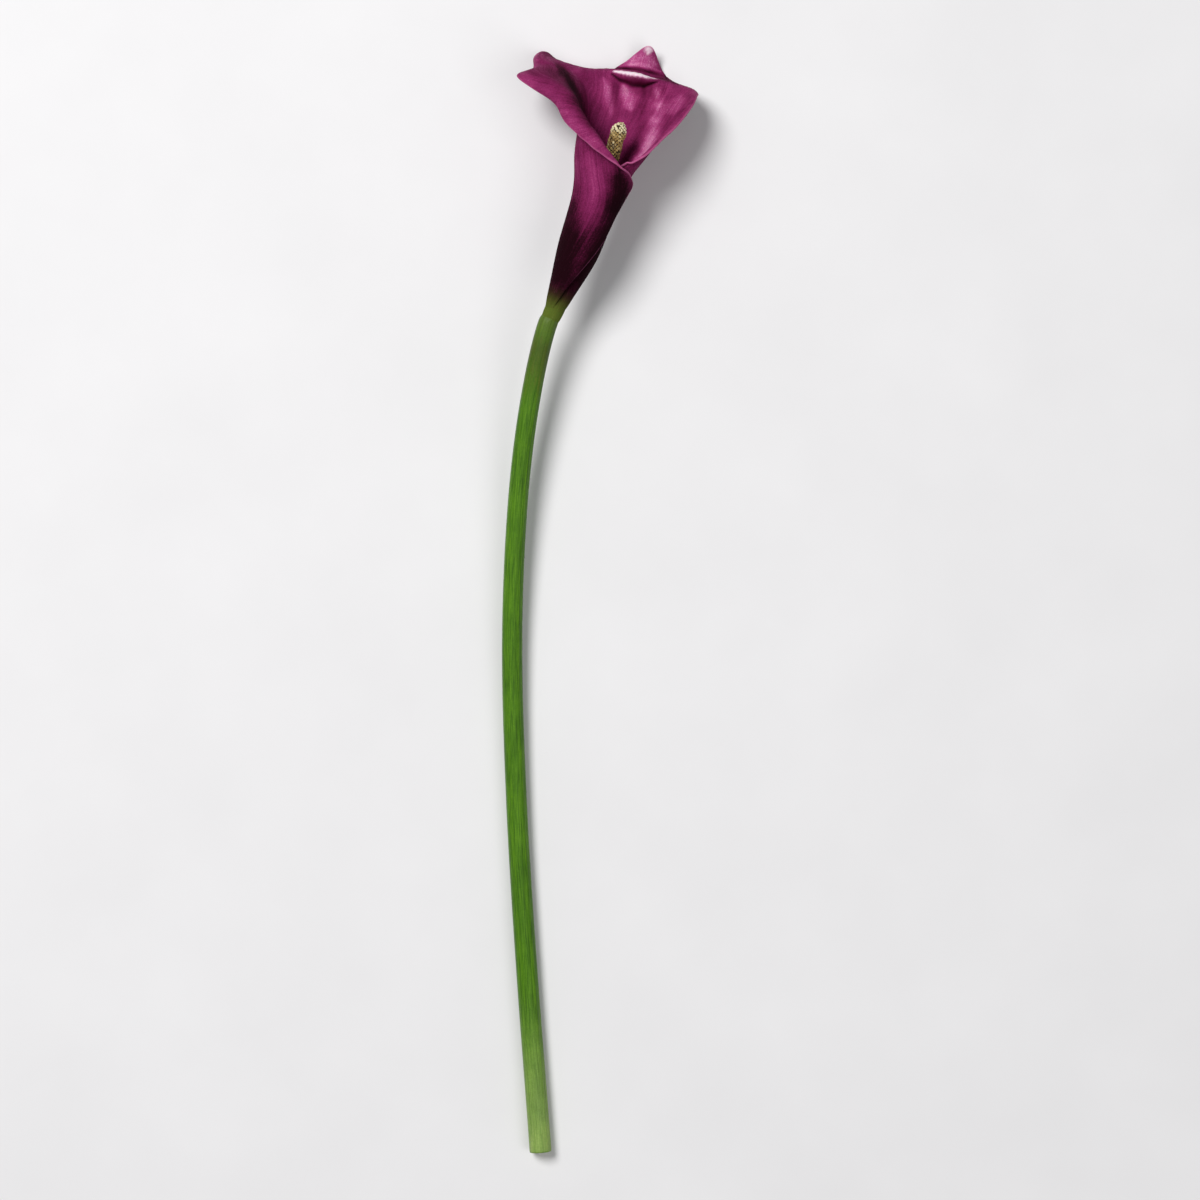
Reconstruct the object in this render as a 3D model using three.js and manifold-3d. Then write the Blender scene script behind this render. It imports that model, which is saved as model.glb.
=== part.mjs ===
// A calla lily flower as picked, lying on its back on a flat surface.
// Millimetres, +Z up from the surface, +X to the flower's right and +Y from the cut end towards the bloom.
//
// The flower is a scape (the leafless stalk), a spathe (one leaf rolled into a funnel, its left margin
// lapped over its right one) and a spadix with a zone of pistils below a zone of stamens.
// Everything is laid out from the joint, the point where the scape turns into the spathe:
// its x and y are 0 there, and z is the height above the surface.

import * as THREE from "three";
import { mergeVertices } from "three/addons/utils/BufferGeometryUtils.js";
import Module from "manifold-3d";

const wasm = await Module();
wasm.setup();

// ---- driving dimensions ----

const JOINT_HEIGHT = 17; // the joint's height above the surface
const JOINT_PLACE = new THREE.Vector3(-14.12, 87.85, 0); // puts the origin under the middle of the whole flower
const FIT_GAP = 0.3; // clear space between two pieces that meet

// The tube's axis is an arc in plan, and it climbs at an even slope.
const TUBE_LENGTH = 44;
const TUBE_TILT = { base: 25.6, throat: 15 }; // degrees from +Y towards +X
const TUBE_CLIMB = 0.11; // rise per millimetre of axis

const SHEET = { base: 1.0, tube: 0.9, margin: 0.7 }; // the spathe's thickness
const LAP_PITCH = { joint: 0.3, tube: 1.45, grown: 7 }; // how far a turn of the roll lies outside the next
const BASE_WRAP = 170; // degrees from the back to each margin at the joint

const PLUG = { below: 1, above: 7.5, radius: 3, topRadius: 2.8 }; // the fused foot of the spathe

const SCAPE = { topRadius: 3, endRadius: 3.4, sides: 16, steps: 44 };
// The stalk's middle line, which leaves the joint along the tube's axis, comes down and lies on the surface.
const SCAPE_PATH = [
  [-4.6, -14, 15],
  [-8.6, -36, 11.9],
  [-11.4, -62, 8.7],
  [-12.9, -100, 5.5],
  [-11.6, -150, 3.7],
  [-8.2, -205, 3.32],
  [-4.2, -258, 3.3],
];

// The spadix stands in the tube. Its stations are distances from the joint, its radius is the core's, and
// the florets on it are knobs in staggered rings.
const SPADIX = { foot: PLUG.above + FIT_GAP, split: 20, tip: 60.5, radius: 2.05 };
const SPADIX_BEND = { from: 18, right: 1.7, up: -0.6 }; // it leans off the tube's axis, so many mm at the tip
const STAMENS = { across: 9, ring: 0.85, rise: 0.6, twist: 5 };
const PISTILS = { across: 8, ring: 1, rise: 0.35, twist: 4 };

// ---- the spathe's shape ----

// Radius of the rolled tube's middle surface against the distance along its axis.
const TUBE_RADIUS = {
  at: [0, 4, 8, 12, 17, 24, 32, 42],
  mm: [2.5, 2.75, 3.7, 4.8, 5.7, 6.15, 6.5, 7.6],
};

// Meridians of the spathe from the lapped flap, round the left lobe, the tip and the right lobe, to the
// hidden inner margin. `turn` is the angle from the back of the tube in degrees, to the right where it is
// positive, and `leaves` the distance along the axis where the meridian leaves the rolled tube. The points
// are mouth, limb, shoulder, crest, brow and margin. `roll` turns the margin backwards beyond the last
// point: an arc's radius in mm and its degrees.
const MERIDIANS = [
  { name: "flap corner", turn: -240, leaves: 26, roll: [0.8, 15],
    points: [[18.4, 27.2, 22.6], [20.3, 30.7, 23], [21.9, 33.6, 23.3], [23.1, 35.6, 23.7], [23.8, 36.9, 24.2],
      [24, 37.9, 24.8]] },
  { name: "flap", turn: -220, leaves: 33, roll: [1, 35],
    points: [[18.2, 32.7, 27], [19.5, 35.6, 28], [20.5, 38, 28.9], [21.1, 39.4, 29.7], [21.5, 40.4, 30.6],
      [21.6, 41, 31.6]] },
  { name: "lip front", turn: -185, leaves: 38, roll: [1.2, 30],
    points: [[14.6, 39.2, 29.7], [15.2, 42.6, 30.4], [15.7, 45.4, 31.4], [16.1, 47.2, 32.9], [16, 47, 34.4],
      [15.3, 45.6, 34.9]] },
  { name: "lip left", turn: -142, leaves: 40, roll: [1.3, 40],
    points: [[9.6, 43.3, 28.4], [10.5, 47.4, 29.4], [11.4, 51, 30.8], [12, 53.4, 32.6], [10.9, 52.9, 34.2],
      [9, 51, 34.2]] },
  { name: "left low", turn: -110, leaves: 41, roll: [1.4, 50],
    points: [[7.2, 46, 25], [7.8, 51.4, 26.3], [8.6, 56.2, 28.3], [8.2, 59.4, 30.6], [5.9, 59, 32],
      [3.9, 57.2, 31.5]] },
  { name: "left", turn: -86, leaves: 42, roll: [1.5, 60],
    points: [[7.1, 48, 21.4], [7.9, 54.8, 22.2], [7.8, 61.4, 24.8], [5, 65.2, 27.6], [1.4, 65.5, 28.4],
      [-0.9, 64.3, 27.2]] },
  { name: "left point", turn: -70, leaves: 42, roll: [1.2, 40],
    points: [[7.8, 49, 18.2], [8.8, 57.6, 17], [7.2, 65.8, 18.6], [1.2, 70.2, 22.2], [-5, 71.4, 23.4],
      [-10.3, 70.9, 22.4]] },
  { name: "left roll", turn: -60, leaves: 42, roll: [1.4, 60],
    points: [[8.6, 49.5, 16], [9.8, 58.8, 12.8], [8.2, 68, 13.2], [1.4, 73.6, 15.8], [-3.5, 74.9, 15.2],
      [-6.1, 74.3, 13.2]] },
  { name: "hump side", turn: -54, leaves: 42, roll: [1.1, 40],
    points: [[9.1, 49.8, 15.1], [10.4, 59.4, 11.5], [8.5, 68.9, 11], [0.5, 75.2, 13.8], [-3.9, 77, 12.2],
      [-5.8, 78.7, 6.5]] },
  { name: "hump", turn: -47, leaves: 42, roll: [1.1, 90],
    points: [[9.9, 50, 14], [11.3, 60.2, 10], [9.2, 70.2, 8.6], [1.2, 76.6, 10], [-1.8, 78.3, 8.8],
      [-2.6, 81.3, 1.2]] },
  { name: "top left", turn: -36, leaves: 42, roll: [1.4, 80],
    points: [[11.4, 50, 12.6], [13, 61, 8.8], [11.8, 71, 7], [7, 75.6, 6.9], [4.2, 77.4, 4.4],
      [2.2, 78, 1.9]] },
  { name: "top", turn: -20, leaves: 42, roll: [1.4, 100],
    points: [[13.6, 50, 11.6], [15.8, 61.4, 7.8], [15.6, 70.8, 6.4], [14, 74.2, 5.8], [13.1, 75.6, 4.1],
      [12.6, 75.9, 2.4]] },
  { name: "tip left", turn: -9, leaves: 42, roll: [1.2, 60],
    points: [[15.9, 50.2, 11.2], [18.9, 61.4, 7.2], [20, 70, 5.6], [20.4, 73.6, 8.2], [21.6, 76.4, 3.4],
      [22.5, 78.3, 2.1]] },
  { name: "tip", turn: 0, leaves: 42, roll: [1.2, 20],
    points: [[18.2, 50.5, 11], [22.2, 60.8, 7.4], [25, 68.8, 5.6], [26.3, 72.2, 12.4], [27.6, 75.3, 4.6],
      [29.5, 82.1, 6.8]] },
  { name: "tip right", turn: 10, leaves: 42, roll: [1.2, 50],
    points: [[20.6, 50.5, 11.2], [26, 60, 7.8], [30, 66.6, 7], [32, 70.6, 10.4], [33, 73.2, 3.4],
      [33.5, 75.1, 1]] },
  { name: "right corner", turn: 27, leaves: 42, roll: [1.4, 80],
    points: [[23.5, 49.6, 12.6], [30.2, 58, 10.7], [35.8, 64.9, 10.5], [39.1, 68.4, 9.8],
      [40.5, 69.3, 8.8], [41.2, 69.6, 7.5]] },
  { name: "right upper", turn: 44, leaves: 42, roll: [1.4, 90],
    points: [[24.7, 48, 14.8], [31, 55.6, 13.1], [36.7, 62.2, 12.9], [40.2, 65.8, 12.4],
      [41.5, 66.7, 12.3], [42.1, 66.9, 12.6]] },
  { name: "right", turn: 62, leaves: 42, roll: [1.3, 90],
    points: [[25, 45.4, 17.6], [30.7, 51.9, 16.9], [35.7, 57.4, 17], [38.9, 60.9, 17.1], [40.2, 62, 17.7],
      [40.8, 62.5, 18.5]] },
  { name: "right low", turn: 85, leaves: 40.5, roll: [1.2, 90],
    points: [[23.8, 41.6, 21.4], [27.5, 46, 21.4], [31.1, 50.2, 21.4], [33.9, 53.1, 21.5],
      [35.2, 54.4, 22.3], [35.7, 55, 23.3]] },
  { name: "right foot", turn: 106, leaves: 39, roll: [1.1, 80],
    points: [[22.1, 39.3, 23.8], [25, 43.1, 24], [27.9, 46.5, 24.1], [29.9, 48.9, 24.3], [31.1, 50.1, 25],
      [31.6, 50.6, 25.9]] },
  { name: "pinch", turn: 130, leaves: 37, roll: [1, 60],
    points: [[19.3, 36.7, 25.9], [21, 39.8, 26.4], [22.7, 42.3, 26.5], [24.3, 44, 26.6], [25.3, 44.7, 27],
      [25.7, 44.9, 27.8]] },
  { name: "inner", turn: 172, leaves: 34, roll: [1, 20],
    points: [[14.2, 34, 26.9], [15.4, 36.4, 27.1], [16.7, 38.6, 27.2], [17.9, 40.4, 27.2], [18.9, 41.6, 27.2],
      [19.7, 42.4, 27.4]] },
  { name: "inner edge", turn: 212, leaves: 29, roll: [1, 5],
    points: [[8.6, 30.2, 25.3], [9.6, 32.2, 25.7], [10.7, 34, 26], [11.8, 35.8, 26.2], [13, 37.3, 26.4],
      [14.2, 38.5, 26.6]] },
];
const RINGS = 4; // rings of the rolled tube that each meridian passes before it leaves it
const STEPS_ROUND = 3; // mesh steps from one meridian to the next
const STEPS_ALONG = [2, 2, 2, 3, 3, 3, 3, 3, 2, 2]; // mesh steps between the points of a meridian
const STEPS_ROLL = 3; // mesh steps in the margin's roll

// ---- smooth curves ----

// The natural cubic spline through `values`, arrays of numbers, at the rising places `knots`.
function smoothThrough(knots, values) {
  const last = knots.length - 1;
  const size = values[0].length;
  const bend = values.map(() => new Array(size).fill(0));
  for (let axis = 0; axis < size; axis++) {
    const diagonal = new Array(last + 1).fill(1);
    const right = new Array(last + 1).fill(0);
    for (let i = 1; i < last; i++) {
      const before = knots[i] - knots[i - 1];
      const after = knots[i + 1] - knots[i];
      const rise = (values[i + 1][axis] - values[i][axis]) / after;
      const riseBefore = (values[i][axis] - values[i - 1][axis]) / before;
      const carry = i > 1 ? before / diagonal[i - 1] : 0;
      diagonal[i] = 2 * (before + after) - carry * before;
      right[i] = 6 * (rise - riseBefore) - carry * right[i - 1];
    }
    for (let i = last - 1; i > 0; i--) {
      const after = knots[i + 1] - knots[i];
      bend[i][axis] = (right[i] - after * bend[i + 1][axis]) / diagonal[i];
    }
  }
  return (at) => {
    let i = 0;
    while (i < last - 1 && at > knots[i + 1]) i++;
    const width = knots[i + 1] - knots[i];
    const b = (at - knots[i]) / width;
    const a = 1 - b;
    const bulge = (width * width) / 6;
    return values[i].map(
      (value, axis) =>
        a * value +
        b * values[i + 1][axis] +
        bulge * ((a ** 3 - a) * bend[i][axis] + (b ** 3 - b) * bend[i + 1][axis]),
    );
  };
}

const places = (list) => list.map((_, i) => i);
const radians = THREE.MathUtils.degToRad;
const vector = (numbers) => new THREE.Vector3(...numbers);

// ---- the rolled tube ----

const tiltChange = radians(TUBE_TILT.base - TUBE_TILT.throat) / TUBE_LENGTH;

// The point of the tube's axis at a distance from the joint, with the directions right, ahead and up.
function tubeFrame(distance) {
  const start = radians(TUBE_TILT.base);
  const tilt = start - tiltChange * distance;
  const origin = new THREE.Vector3(
    (Math.cos(tilt) - Math.cos(start)) / tiltChange,
    (Math.sin(start) - Math.sin(tilt)) / tiltChange,
    JOINT_HEIGHT + TUBE_CLIMB * distance,
  );
  const ahead = new THREE.Vector3(Math.sin(tilt), Math.cos(tilt), TUBE_CLIMB).normalize();
  const right = new THREE.Vector3(Math.cos(tilt), -Math.sin(tilt), 0);
  const up = new THREE.Vector3().crossVectors(right, ahead);
  return { origin, right, ahead, up };
}

const radiusAlong = smoothThrough(TUBE_RADIUS.at, TUBE_RADIUS.mm.map((mm) => [mm]));

// A point of the roll: the sheet winds outwards as the turn falls.
function rollPoint(turn, distance) {
  const frame = tubeFrame(distance);
  const grown = Math.min(distance / LAP_PITCH.grown, 1);
  const pitch = THREE.MathUtils.lerp(LAP_PITCH.joint, LAP_PITCH.tube, grown);
  const radius = radiusAlong(distance)[0] - (pitch * turn) / 360;
  return frame.origin
    .addScaledVector(frame.right, radius * Math.sin(radians(turn)))
    .addScaledVector(frame.up, -radius * Math.cos(radians(turn)));
}

// ---- the spathe ----

const stations = places(MERIDIANS);
const turnAt = smoothThrough(stations, MERIDIANS.map((m) => [m.turn]));
const leavesAt = smoothThrough(stations, MERIDIANS.map((m) => [m.leaves]));
const rollAt = smoothThrough(stations, MERIDIANS.map((m) => m.roll));
const guides = MERIDIANS[0].points.map((_, row) =>
  smoothThrough(stations, MERIDIANS.map((m) => m.points[row])),
);
const WIDEST = { left: -MERIDIANS[0].turn, right: MERIDIANS.at(-1).turn };

// The meridian at any station: its points from the joint to the margin, evenly stepped between them.
function meridianPoints(station) {
  const turn = turnAt(station)[0];
  const leaves = leavesAt(station)[0];
  const baseTurn = (turn * BASE_WRAP) / (turn < 0 ? WIDEST.left : WIDEST.right);
  const passed = [];
  for (let ring = 0; ring <= RINGS; ring++) {
    const share = ring / RINGS;
    passed.push(rollPoint(baseTurn + (turn - baseTurn) * share, leaves * share));
  }
  for (const guide of guides) passed.push(vector(guide(station)));
  const knots = [0];
  for (let i = 1; i < passed.length; i++) {
    knots.push(knots[i - 1] + passed[i].distanceTo(passed[i - 1]));
  }
  const curve = smoothThrough(knots, passed.map((p) => p.toArray()));
  const line = [vector(curve(0))];
  STEPS_ALONG.forEach((steps, i) => {
    for (let step = 1; step <= steps; step++) {
      line.push(vector(curve(THREE.MathUtils.lerp(knots[i], knots[i + 1], step / steps))));
    }
  });
  return line;
}

// Lengthens each line of the grid by the margin's roll, square to the rim whatever way the line meets it.
function rollMargin(grid) {
  const rim = grid.map((line) => line.at(-1).clone());
  const normals = gridNormals(grid).map((line) => line.at(-1));
  grid.forEach((line, i) => {
    const [radius, degrees] = rollAt(i / STEPS_ROUND);
    const before = rim[Math.max(i - 1, 0)];
    const after = rim[Math.min(i + 1, rim.length - 1)];
    const outward = new THREE.Vector3().crossVectors(normals[i], after.clone().sub(before)).normalize();
    for (let step = 1; step <= STEPS_ROLL; step++) {
      const angle = radians((degrees * step) / STEPS_ROLL);
      const point = rim[i].clone().addScaledVector(outward, radius * Math.sin(angle));
      line.push(point.addScaledVector(normals[i], -radius * (1 - Math.cos(angle))));
    }
  });
}

// The spathe's middle surface as a grid of points: one line for each meridian.
function spatheGrid() {
  const grid = [];
  const last = (MERIDIANS.length - 1) * STEPS_ROUND;
  for (let i = 0; i <= last; i++) grid.push(meridianPoints(i / STEPS_ROUND));
  rollMargin(grid);
  return grid;
}

// Unit normals of a grid of points, from the neighbours of each.
function gridNormals(grid) {
  const at = (i, j) =>
    grid[THREE.MathUtils.clamp(i, 0, grid.length - 1)][THREE.MathUtils.clamp(j, 0, grid[0].length - 1)];
  return grid.map((line, i) =>
    line.map((_, j) => {
      const round = at(i + 1, j).clone().sub(at(i - 1, j));
      const along = at(i, j + 1).clone().sub(at(i, j - 1));
      return round.cross(along).normalize();
    }),
  );
}

function sheetThickness(share) {
  if (share < 0.5) return THREE.MathUtils.lerp(SHEET.base, SHEET.tube, share / 0.5);
  return THREE.MathUtils.lerp(SHEET.tube, SHEET.margin, (share - 0.5) / 0.5);
}

// A closed mesh from a grid of points, a thin sheet with both faces split alike and its four edges closed.
function sheetGeometry(grid) {
  const normals = gridNormals(grid);
  const rows = grid.length;
  const columns = grid[0].length;
  const positions = [];
  for (const side of [0.5, -0.5]) {
    grid.forEach((line, i) =>
      line.forEach((point, j) => {
        const shift = side * sheetThickness(j / (columns - 1));
        const moved = point.clone().addScaledVector(normals[i][j], shift);
        positions.push(moved.x, moved.y, Math.max(moved.z, 0)); // pressed flat where it lies on the surface
      }),
    );
  }
  const front = (i, j) => i * columns + j;
  const back = (i, j) => rows * columns + front(i, j);
  const faces = [];
  const quad = (a, b, c, d) => faces.push(a, b, c, a, c, d);
  for (let i = 0; i + 1 < rows; i++) {
    for (let j = 0; j + 1 < columns; j++) {
      quad(front(i, j), front(i + 1, j), front(i + 1, j + 1), front(i, j + 1));
      faces.push(back(i, j), back(i + 1, j + 1), back(i + 1, j));
      faces.push(back(i, j), back(i, j + 1), back(i + 1, j + 1));
    }
  }
  const edge = [];
  for (let i = 0; i + 1 < rows; i++) edge.push([i, 0]);
  for (let j = 0; j + 1 < columns; j++) edge.push([rows - 1, j]);
  for (let i = rows - 1; i > 0; i--) edge.push([i, columns - 1]);
  for (let j = columns - 1; j > 0; j--) edge.push([0, j]);
  edge.forEach((here, k) => {
    const next = edge[(k + 1) % edge.length];
    quad(front(...next), front(...here), back(...here), back(...next));
  });
  const geometry = new THREE.BufferGeometry();
  geometry.setAttribute("position", new THREE.Float32BufferAttribute(positions, 3));
  geometry.setIndex(faces);
  return geometry;
}

// ---- solids ----

function toSolid(geometry) {
  const bare = new THREE.BufferGeometry();
  bare.setAttribute("position", geometry.getAttribute("position"));
  bare.setIndex(geometry.getIndex());
  const merged = mergeVertices(bare, 1e-4);
  return new wasm.Manifold(
    new wasm.Mesh({
      numProp: 3,
      vertProperties: new Float32Array(merged.getAttribute("position").array),
      triVerts: new Uint32Array(merged.getIndex().array),
    }),
  );
}

function toGeometry(solid) {
  const mesh = solid.getMesh();
  const geometry = new THREE.BufferGeometry();
  geometry.setAttribute("position", new THREE.BufferAttribute(mesh.vertProperties, 3));
  geometry.setIndex(new THREE.BufferAttribute(mesh.triVerts, 1));
  return geometry;
}

// A closed round bar: `frameAt(share)` gives its middle and two directions, and `radiusAt(share, side, step)`
// its radius. Each ring is turned by `twist` degrees from the one before.
function barGeometry(frameAt, radiusAt, sides, steps, twist = 0) {
  const positions = [];
  for (let step = 0; step <= steps; step++) {
    const share = step / steps;
    const { origin, right, up } = frameAt(share);
    for (let side = 0; side < sides; side++) {
      const angle = (2 * Math.PI * side) / sides + radians(twist * step);
      const radius = radiusAt(share, side, step);
      const point = origin
        .clone()
        .addScaledVector(right, radius * Math.cos(angle))
        .addScaledVector(up, radius * Math.sin(angle));
      positions.push(point.x, point.y, Math.max(point.z, 0));
    }
  }
  positions.push(...frameAt(0).origin.toArray(), ...frameAt(1).origin.toArray());
  const first = (steps + 1) * sides;
  const faces = [];
  for (let step = 0; step < steps; step++) {
    for (let side = 0; side < sides; side++) {
      const a = step * sides + side;
      const b = step * sides + ((side + 1) % sides);
      faces.push(a, a + sides, b + sides, a, b + sides, b);
    }
  }
  for (let side = 0; side < sides; side++) {
    const next = (side + 1) % sides;
    faces.push(first, side, next);
    faces.push(first + 1, steps * sides + next, steps * sides + side);
  }
  const geometry = new THREE.BufferGeometry();
  geometry.setAttribute("position", new THREE.Float32BufferAttribute(positions, 3));
  geometry.setIndex(faces);
  return geometry;
}

// ---- the pieces ----

function spatheGeometry() {
  const sheet = toSolid(sheetGeometry(spatheGrid()));
  const plug = barGeometry(
    (share) => tubeFrame(THREE.MathUtils.lerp(-PLUG.below, PLUG.above, share)),
    (share) => THREE.MathUtils.lerp(PLUG.radius, PLUG.topRadius, share),
    24,
    4,
  );
  return toGeometry(sheet.add(toSolid(plug)));
}

function scapeGeometry() {
  const start = [PLUG.below + FIT_GAP, 2 * PLUG.below + FIT_GAP, 4].map((d) => tubeFrame(-d).origin);
  const path = new THREE.CatmullRomCurve3([...start, ...SCAPE_PATH.map(vector)]);
  const frameAt = (share) => {
    const origin = path.getPointAt(share);
    const ahead = path.getTangentAt(share);
    const right = new THREE.Vector3().crossVectors(ahead, new THREE.Vector3(0, 0, 1)).normalize();
    const up = new THREE.Vector3().crossVectors(right, ahead);
    return { origin, right, up };
  };
  const radiusAt = (share) => THREE.MathUtils.lerp(SCAPE.topRadius, SCAPE.endRadius, share);
  return barGeometry(frameAt, radiusAt, SCAPE.sides, SCAPE.steps);
}

// A length of the spadix between two distances from the joint, with a knob at every other corner of every
// other ring. The ends stay bare, and the core narrows towards the foot and rounds off at the tip.
function spadixGeometry(from, to, florets) {
  const bend = SPADIX.tip - SPADIX_BEND.from;
  const frameAt = (share) => {
    const distance = THREE.MathUtils.lerp(from, to, share);
    const frame = tubeFrame(distance);
    const droop = Math.max(0, (distance - SPADIX_BEND.from) / bend) ** 2;
    frame.origin.addScaledVector(frame.right, droop * SPADIX_BEND.right);
    frame.origin.addScaledVector(frame.up, droop * SPADIX_BEND.up);
    return frame;
  };
  const steps = 2 * Math.round((to - from) / (2 * florets.ring));
  const radiusAt = (share, side, step) => {
    const distance = THREE.MathUtils.lerp(from, to, share);
    const foot = THREE.MathUtils.smoothstep(distance, SPADIX.foot - 4, SPADIX.foot + 4);
    const tip = Math.sqrt(Math.max(0, 1 - Math.max(0, (distance - SPADIX.tip + 3) / 3.2) ** 2));
    const row = Math.floor(step / 2);
    const knob = step % 2 === 1 && step < steps && (side + row) % 2 === 0;
    return SPADIX.radius * (0.55 + 0.45 * foot) * tip + (knob ? florets.rise : 0);
  };
  return barGeometry(frameAt, radiusAt, 2 * florets.across, steps, florets.twist);
}

// ---- assembly ----

function piece(name, geometry, color, roughness) {
  const shown = geometry.toNonIndexed();
  shown.computeVertexNormals();
  const material = new THREE.MeshStandardMaterial({ color, roughness, metalness: 0 });
  const mesh = new THREE.Mesh(shown, material);
  mesh.name = name;
  return mesh;
}

const flower = new THREE.Group();
flower.position.copy(JOINT_PLACE);
flower.add(piece("scape", scapeGeometry(), 0x457c10, 0.45));
flower.add(piece("spathe", spatheGeometry(), 0x8a2f68, 0.4));
flower.add(piece("pistils", spadixGeometry(SPADIX.foot, SPADIX.split - FIT_GAP, PISTILS), 0xa9b46a, 0.6));
flower.add(piece("stamens", spadixGeometry(SPADIX.split, SPADIX.tip, STAMENS), 0xb08c4a, 0.8));

export default flower;
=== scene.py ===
"""A picked calla lily flower lying on its back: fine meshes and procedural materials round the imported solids.

Lengths in the tables are millimetres from the joint, where the scape turns into the spathe, as in the part's
source; the meshes are in metres in the row frame.
"""

import math

import bpy
import numpy as np
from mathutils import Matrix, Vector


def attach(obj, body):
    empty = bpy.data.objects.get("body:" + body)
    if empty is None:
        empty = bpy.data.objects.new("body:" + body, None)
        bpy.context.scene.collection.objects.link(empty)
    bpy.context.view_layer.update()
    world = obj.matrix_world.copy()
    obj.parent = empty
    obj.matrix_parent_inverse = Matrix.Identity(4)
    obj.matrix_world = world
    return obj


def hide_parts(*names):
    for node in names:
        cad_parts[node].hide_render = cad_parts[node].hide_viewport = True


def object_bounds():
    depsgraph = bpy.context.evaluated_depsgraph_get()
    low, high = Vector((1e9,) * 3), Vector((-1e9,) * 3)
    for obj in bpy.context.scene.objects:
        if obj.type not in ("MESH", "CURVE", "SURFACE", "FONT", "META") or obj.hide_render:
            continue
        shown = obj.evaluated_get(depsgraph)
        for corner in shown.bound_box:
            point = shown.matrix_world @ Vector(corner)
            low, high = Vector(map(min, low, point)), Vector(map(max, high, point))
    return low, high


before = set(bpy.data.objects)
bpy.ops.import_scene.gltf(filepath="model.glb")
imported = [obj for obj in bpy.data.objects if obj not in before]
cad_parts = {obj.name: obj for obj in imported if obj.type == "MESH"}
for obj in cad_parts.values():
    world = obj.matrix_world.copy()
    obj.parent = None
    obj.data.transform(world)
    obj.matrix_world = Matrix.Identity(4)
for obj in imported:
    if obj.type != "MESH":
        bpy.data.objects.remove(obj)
cad_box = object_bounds()

MM = 0.001

# ---- the part's own dimensions ----

JOINT_HEIGHT = 17
JOINT_PLACE = np.array([-14.12, 87.85, 0])
TUBE_LENGTH = 44
TUBE_TILT = {"base": 25.6, "throat": 15}
TUBE_CLIMB = 0.11
LAP_PITCH = {"joint": 0.3, "tube": 1.45, "grown": 7}
BASE_WRAP = 170
TUBE_RADIUS = {"at": [0, 4, 8, 12, 17, 24, 32, 42], "mm": [2.5, 2.75, 3.7, 4.8, 5.7, 6.15, 6.5, 7.6]}
SCAPE_RADIUS = {"top": 3, "end": 3.4}
SCAPE_PATH = [
    [-4.6, -14, 15], [-8.6, -36, 11.9], [-11.4, -62, 8.7], [-12.9, -100, 5.5],
    [-11.6, -150, 3.7], [-8.2, -205, 3.32], [-4.2, -258, 3.3],
]
# The spathe's foot: its radius at distances from the joint.
COLLAR = {
    "at": [-3.2, -3, -2.5, -2, -1.4, -0.7, 0, 0.8, 1.6, 2.4, 3.4, 5, 6.5, 7.2, 7.5],
    "mm": [2.45, 2.6, 2.74, 2.84, 2.91, 2.97, 3, 3.01, 3, 2.97, 2.9, 2.82, 2.76, 2.6, 2.2],
}
CUT_INSET = [0.024, 0.096, 0.28]  # how far the skin's last rings are drawn in round the cut
CUT_DISH = [(0.96, 0.04), (0.9, 0.1), (0.75, 0.16), (0.5, 0.2), (0.25, 0.22)]  # share of the radius, and depth
STALK_SIDES = 72  # points round the scape and the spathe's foot
SPADIX_SIDES = 40
SPADIX = {"foot": 7.8, "split": 20, "tip": 60.5, "radius": 2.05}
SPADIX_BEND = {"from": 18, "right": 1.7, "up": -0.6}
SPADIX_END = 59.6  # where the florets' own body ends
MOUTH_FROM = 40  # past this distance the spadix shows in the mouth

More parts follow.
